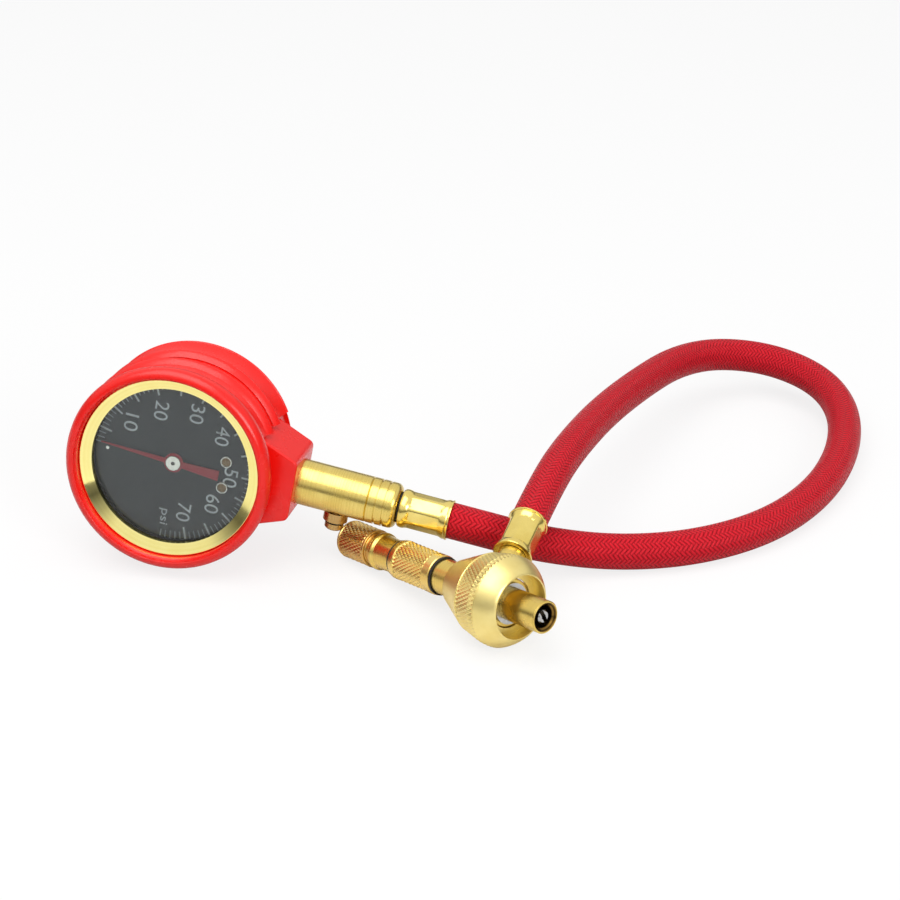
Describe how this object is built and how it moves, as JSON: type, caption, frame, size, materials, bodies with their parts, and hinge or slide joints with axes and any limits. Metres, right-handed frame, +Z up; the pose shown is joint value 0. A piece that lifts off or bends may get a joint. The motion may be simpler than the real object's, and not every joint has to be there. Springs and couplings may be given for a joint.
{
  "type": "tyre inflator with gauge",
  "caption": "Tyre inflator: a dial gauge in a ribbed rubber boot, a stem with a bleed button, a braided hose and a valve head with a sliding vent bell and a core tool.",
  "frame": {"origin": "on the floor, under the middle of the object, the hose left out", "axes": "+Z up; the dial looks towards -Y, a little to -X and up; the stem and the hose leave it towards +X"},
  "size_m": [0.2984, 0.2236, 0.0769],
  "materials": {
    "boot_rubber": "satin moulded rubber",
    "case_brass": "turned, satin",
    "bezel_brass": "polished",
    "window": "clear, glossy",
    "black_rubber": "matte",
    "dial_print": "dark grey print with white marks",
    "screw_steel": "bright",
    "pointer_red": "painted",
    "bright_metal": "polished plating",
    "movement_brass": "plain",
    "ferrule_brass": "crimped, bright",
    "hose_braid": "woven, glossy thread",
    "hose_rubber": "matte",
    "head_brass": "turned and knurled, satin"
  },
  "bodies": {
    "frame": {"bell_o_ring": "black_rubber", "bezel_ring": "bezel_brass", "bleed_housing": "case_brass", "bleed_spring": "screw_steel", "bourdon_tube": "movement_brass", "dial_plate": "dial_print", "dial_screws": "screw_steel", "end_cap_o_ring": "black_rubber", "gauge_boot": "boot_rubber", "gauge_case": "case_brass", "gauge_ferrule": "ferrule_brass", "gauge_hose_barb": "case_brass", "gauge_lens": "window", "head_body": "head_brass", "head_ferrule": "ferrule_brass", "head_hose_fitting": "case_brass", "hose_braid": "hose_braid", "hose_liner": "hose_rubber", "lens_gasket": "black_rubber", "movement_back_plate": "case_brass", "movement_front_plate": "case_brass", "movement_pillars": "case_brass", "movement_screws": "screw_steel", "pointer_stop_pin": "screw_steel", "socket_block": "case_brass", "spindle_o_rings": "black_rubber", "stem_body": "case_brass", "stem_end_cap": "case_brass", "stem_seal": "black_rubber"},
    "pointer_set": {"pointer": "pointer_red", "pointer_hub": "bright_metal", "pointer_spindle": "screw_steel", "hairspring": "screw_steel"},
    "sector": {"sector_gear": "movement_brass"},
    "tube_tip": {"tube_tip_block": "case_brass"},
    "link": {"connecting_link": "movement_brass"},
    "button": {"bleed_button": "case_brass", "bleed_button_seal": "black_rubber"},
    "bell": {"slide_bell": "head_brass"},
    "coupling": {"coupling_spindle": "head_brass", "coupling_seal": "black_rubber", "thrust_ring": "bright_metal", "grip_sleeve": "head_brass", "sleeve_washer": "black_rubber", "gland_nut": "head_brass", "gland_o_ring": "black_rubber"},
    "tool_slide": {"rod_o_ring": "black_rubber"},
    "tool": {"tool_rod": "bright_metal", "tool_tip": "bright_metal", "tool_knob": "head_brass"}
  },
  "joints": [
    {"name": "tube_tip_travel", "type": "slide", "parent": "frame", "child": "tube_tip", "axis": [0.5144, 0.0108, 0.8575], "range_m": [0, 0.00396]},
    {"name": "pointer_turn", "type": "hinge", "parent": "frame", "child": "pointer_set", "pos_m": [-0.04565, 0.03106, 0.03822], "axis": [0.1885, 0.9741, -0.1253], "range_deg": [0, 261]},
    {"name": "sector_turn", "type": "hinge", "parent": "frame", "child": "sector", "pos_m": [-0.03334, 0.02839, 0.03597], "axis": [0.1885, 0.9741, -0.1253], "range_deg": [-37.4, 0]},
    {"name": "link_swing", "type": "hinge", "parent": "tube_tip", "child": "link", "pos_m": [-0.03365, 0.03095, 0.05545], "axis": [0.1885, 0.9741, -0.1253], "range_deg": [0, 3.79]},
    {"name": "bleed_press", "type": "slide", "parent": "frame", "child": "button", "axis": [0.1973, 0.0875, 0.9764], "range_m": [0, 0.0018], "stiffness_N_per_m": 600, "springref_m": -0.002},
    {"name": "bell_slide", "type": "slide", "parent": "frame", "child": "bell", "axis": [-0.6582, 0.7439, -0.1158], "range_m": [0, 0.0062]},
    {"name": "coupling_turn", "type": "hinge", "parent": "frame", "child": "coupling", "pos_m": [0.0812, -0.05354, 0.01866], "axis": [-0.6582, 0.7439, -0.1158], "continuous": true},
    {"name": "tool_pull", "type": "slide", "parent": "frame", "child": "tool_slide", "axis": [-0.6582, 0.7439, -0.1158], "range_m": [0, 0.03]},
    {"name": "tool_turn", "type": "hinge", "parent": "tool_slide", "child": "tool", "pos_m": [0.0812, -0.05354, 0.01866], "axis": [-0.6582, 0.7439, -0.1158], "continuous": true}
  ],
  "couplings": [
    {"joint": "pointer_turn", "follows": "tube_tip_travel", "rad_per_m": 1146.2},
    {"joint": "sector_turn", "follows": "tube_tip_travel", "rad_per_m": -163.74},
    {"joint": "link_swing", "follows": "tube_tip_travel", "rad_per_m": 16.247}
  ]
}
